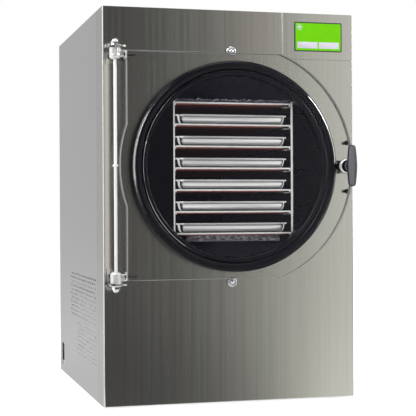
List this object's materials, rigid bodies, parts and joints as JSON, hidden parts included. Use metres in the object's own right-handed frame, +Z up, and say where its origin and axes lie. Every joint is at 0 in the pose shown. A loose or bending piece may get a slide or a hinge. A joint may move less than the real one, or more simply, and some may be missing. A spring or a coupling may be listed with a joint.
{
  "type": "freeze dryer",
  "caption": "Cabinet freeze dryer: round vacuum chamber with a clear swinging door on a rod hinge, T-handle latch, heated rack of trays, refrigeration and fan below, touch panel above",
  "frame": {"origin": "middle of the footprint's bounding box, on the surface the dryer stands on", "axes": "+Z up, the door faces -Y, +X to the right as seen from the front"},
  "size_m": [0.516, 0.7322, 0.78],
  "materials": {
    "brushed_panel": "brushed vertical grain, semi-gloss",
    "side_panel": "fine brushed, satin",
    "galvanised": "dull spangled",
    "chrome": "polished",
    "stainless_bright": "bright drawn",
    "chamber_steel": "dull, dark inside",
    "black_rubber": "satin rubber",
    "clear_acrylic": "clear, polished edges",
    "black_plastic": "satin moulded",
    "screen": "glass over a lit display",
    "circuit_board": "solder mask",
    "foam": "closed-cell foam",
    "copper": "drawn tube",
    "heater_silicone": "silicone mat",
    "lead_insulation": "woven sleeve",
    "foil": "crumpled reflective foil",
    "tray_steel": "pressed, bright",
    "clear_tube": "clear vinyl",
    "painted_black": "baked enamel",
    "switch_red": "moulded"
  },
  "bodies": {
    "root": {"base_pan": "galvanised", "front_panel": "brushed_panel", "left_side_panel": "side_panel", "right_side_panel": "side_panel", "top_panel": "side_panel", "back_panel": "galvanised", "control_panel": "brushed_panel", "rubber_feet": "black_rubber", "panel_screws": "chrome", "chamber_screws": "chrome", "display_bezel": "black_plastic", "touch_screen": "screen", "control_board": "circuit_board", "vacuum_chamber": "chamber_steel", "insulation_jacket": "foam", "evaporator_coil": "copper", "door_gasket": "black_rubber", "chamber_cradle": "galvanised", "rack_side_left": "stainless_bright", "rack_side_right": "stainless_bright", "shelf_1": "stainless_bright", "shelf_2": "stainless_bright", "shelf_3": "stainless_bright", "shelf_4": "stainless_bright", "shelf_5": "stainless_bright", "shelf_6": "stainless_bright", "shelf_7": "stainless_bright", "tray_1": "tray_steel", "tray_2": "tray_steel", "tray_3": "tray_steel", "tray_4": "tray_steel", "tray_5": "tray_steel", "tray_6": "tray_steel", "heater_mats": "heater_silicone", "heater_leads": "lead_insulation", "foil_blankets": "foil", "hinge_mounts": "chrome", "mount_screws": "chrome", "hinge_rod": "chrome", "hinge_cap_nuts": "chrome", "latch_receiver": "stainless_bright", "door_stops": "black_rubber", "compressor": "painted_black", "condenser_coil": "galvanised", "fan_shroud": "painted_black", "fan_motor": "galvanised", "vacuum_port": "stainless_bright", "drain_tube": "clear_tube", "power_inlet": "black_plastic", "switch_housing": "black_plastic", "refrigerant_lines": "copper"},
    "door": {"door_plate": "clear_acrylic", "hinge_knuckles": "chrome", "hinge_screws": "chrome"},
    "latch": {"latch_handle": "black_plastic", "latch_shaft": "chrome", "latch_nut": "chrome"},
    "fan": {"fan_blades": "black_plastic", "fan_shaft": "stainless_bright"},
    "rocker": {"power_switch": "switch_red"}
  },
  "joints": [
    {"name": "door_swing", "type": "hinge", "parent": "root", "child": "door", "pos_m": [-0.24, -0.31185, 0.47], "axis": [0, 0, -1], "range_deg": [0, 110]},
    {"name": "latch_turn", "type": "hinge", "parent": "door", "child": "latch", "pos_m": [0.223, -0.31185, 0.47], "axis": [0, 1, 0], "range_deg": [0, 90]},
    {"name": "fan_spin", "type": "hinge", "parent": "root", "child": "fan", "pos_m": [-0.18, -0.03385, 0.128], "axis": [1, 0, 0], "continuous": true},
    {"name": "switch_rock", "type": "hinge", "parent": "root", "child": "rocker", "pos_m": [0.12, 0.32215, 0.09], "axis": [1, 0, 0], "range_deg": [-16, 0]}
  ]
}
